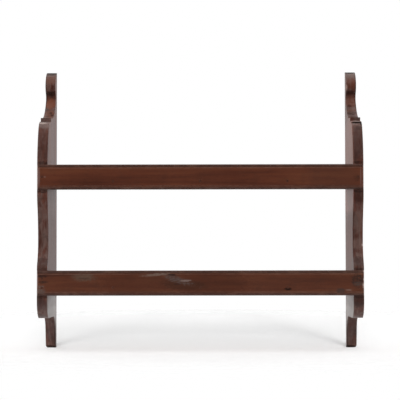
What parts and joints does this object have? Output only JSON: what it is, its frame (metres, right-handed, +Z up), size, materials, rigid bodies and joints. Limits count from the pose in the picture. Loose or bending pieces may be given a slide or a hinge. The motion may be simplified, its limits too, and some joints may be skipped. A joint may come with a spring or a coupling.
{
  "type": "wall shelf",
  "caption": "Hanging wooden wall shelf with shaped sides, housed shelves and beaded front rails, held on keyhole plates let into the backs of its sides.",
  "frame": {"origin": "on the wall plane, midway between the centres of the two keyhole plates' entry holes", "axes": "+X to the right seen from the front, +Y into the wall, +Z up; the front looks along -Y"},
  "size_m": [0.6, 0.163, 0.534],
  "materials": {
    "mahogany": "old polished mahogany, dark red-brown, satin, worn at the edges",
    "shelf_mahogany": "waxed mahogany, red-brown, satin",
    "iron": "dark iron",
    "stopping": "dark stopping wax, dull",
    "brass": "aged brass, satin"
  },
  "bodies": {
    "root": {"left_side": "mahogany", "right_side": "mahogany", "upper_shelf": "shelf_mahogany", "lower_shelf": "shelf_mahogany", "upper_rail": "mahogany", "lower_rail": "mahogany", "upper_rail_nails": "iron", "lower_rail_nails": "iron", "upper_rail_stopping": "stopping", "lower_rail_stopping": "stopping", "left_hanger_plate": "brass", "right_hanger_plate": "brass", "hanger_screws": "brass"}
  },
  "joints": []
}
